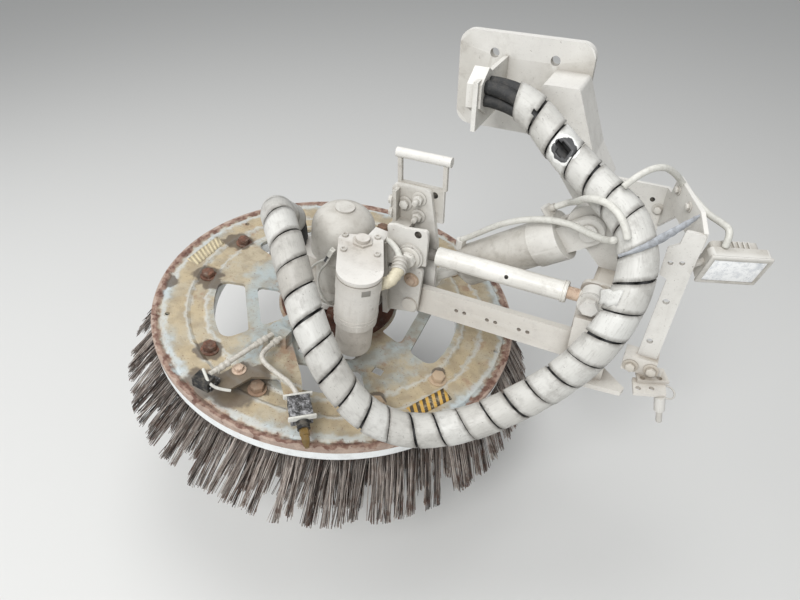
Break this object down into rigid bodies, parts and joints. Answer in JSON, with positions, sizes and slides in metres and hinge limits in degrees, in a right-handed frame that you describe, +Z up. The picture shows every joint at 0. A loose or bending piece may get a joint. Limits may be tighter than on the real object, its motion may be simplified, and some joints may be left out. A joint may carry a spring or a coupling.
{
  "type": "street sweeper side broom unit",
  "caption": "Gutter broom of a street sweeper: chassis pylon, parallel lift arms with air cylinder, tilting hydraulic head and round wire broom.",
  "frame": {"origin": "centre of the mounting plate's back face, which bolts against the vehicle's chassis rail", "axes": "+Y along the mounting face's outward normal, inboard; +X forwards along the vehicle; +Z up"},
  "size_m": [0.9492, 0.7102, 0.5792],
  "materials": {
    "overspray_paint": "matt",
    "rusted_steel": "rough",
    "bare_steel": "satin",
    "ring_plastic": "matt",
    "bristle_wire": "satin",
    "brass": "satin",
    "hose_guard": "matt",
    "air_hose": "matt",
    "lamp_housing": "matt"
  },
  "bodies": {
    "pylon": {"mounting_plate": "overspray_paint", "pylon": "overspray_paint", "pivot_carrier": "overspray_paint", "cylinder_lug": "overspray_paint", "stop_plate": "overspray_paint", "lamp_bracket": "overspray_paint", "lamp_leg": "overspray_paint", "foot_plates": "overspray_paint", "foot_pin": "bare_steel", "lamp_housing": "lamp_housing", "hose_entry": "overspray_paint", "upper_right_pin": "bare_steel", "lower_right_pin": "bare_steel", "cylinder_pin": "bare_steel", "hose_upper": "hose_guard", "lamp_lead": "air_hose", "air_hose_cap": "air_hose", "air_hose_rod": "air_hose"},
    "lower_arm": {"lower_bar": "overspray_paint", "hose_loop": "hose_guard"},
    "upper_link": {"upper_rod": "bare_steel"},
    "head": {"head_bracket": "overspray_paint", "upper_frame": "overspray_paint", "tilt_arm": "overspray_paint", "gear_case": "overspray_paint", "motor_can": "overspray_paint", "spindle_tube": "rusted_steel", "actuator_bracket": "overspray_paint", "upper_left_pin": "bare_steel", "lower_left_pin": "bare_steel"},
    "tilt_rod": {"tilt_rod": "bare_steel"},
    "drive": {"drive_housing": "overspray_paint", "drive_cover": "overspray_paint", "port_block": "overspray_paint", "tilt_lug": "overspray_paint", "spray_plate": "overspray_paint", "left_nozzle": "brass", "front_nozzle": "brass", "hose_end": "hose_guard"},
    "broom": {"broom_disc": "overspray_paint", "hub_flange": "rusted_steel", "backing_ring": "ring_plastic", "bristles": "bristle_wire"},
    "cylinder": {"cylinder_barrel": "overspray_paint", "cylinder_fittings": "brass"},
    "piston": {"piston_rod": "bare_steel"}
  },
  "joints": [
    {"name": "lift", "type": "hinge", "parent": "pylon", "child": "lower_arm", "pos_m": [0.176, -0.18, -0.293], "axis": [0, 1, 0], "range_deg": [-28, 0], "deforming": ["hose_upper", "hose_loop"]},
    {"name": "upper_link_swing", "type": "hinge", "parent": "pylon", "child": "upper_link", "pos_m": [0.176, -0.18, -0.204], "axis": [0, 1, 0], "range_deg": [-28, 0]},
    {"name": "head_level", "type": "hinge", "parent": "lower_arm", "child": "head", "pos_m": [-0.083, -0.18, -0.291], "axis": [0, 1, 0], "range_deg": [0, 28]},
    {"name": "tilt", "type": "hinge", "parent": "head", "child": "drive", "pos_m": [-0.21782, -0.13, -0.29047], "axis": [0.9914, 0, -0.1305], "range_deg": [-3, 8], "deforming": ["hose_end"]},
    {"name": "tilt_rod_slide", "type": "slide", "parent": "head", "child": "tilt_rod", "axis": [-0.1305, 0, -0.9914], "range_m": [-0.006, 0.015]},
    {"name": "broom_spin", "type": "hinge", "parent": "drive", "child": "broom", "pos_m": [-0.225, -0.18, -0.345], "axis": [0.1305, 0, 0.9914], "continuous": true},
    {"name": "cylinder_swing", "type": "hinge", "parent": "pylon", "child": "cylinder", "pos_m": [0.1486, -0.12, -0.1313], "axis": [0, 1, 0], "range_deg": [-21, 0], "deforming": ["air_hose_cap", "air_hose_rod"]},
    {"name": "rod_slide", "type": "slide", "parent": "cylinder", "child": "piston", "axis": [-0.8233, 0, -0.5677], "range_m": [0, 0.07]}
  ],
  "couplings": [
    {"joint": "upper_link_swing", "follows": "lift", "ratio": 1},
    {"joint": "head_level", "follows": "lift", "ratio": -1},
    {"joint": "cylinder_swing", "follows": "lift", "ratio": 0.704},
    {"joint": "rod_slide", "follows": "lift", "m_per_rad": -0.1336},
    {"joint": "tilt_rod_slide", "follows": "tilt", "m_per_rad": 0.103}
  ]
}
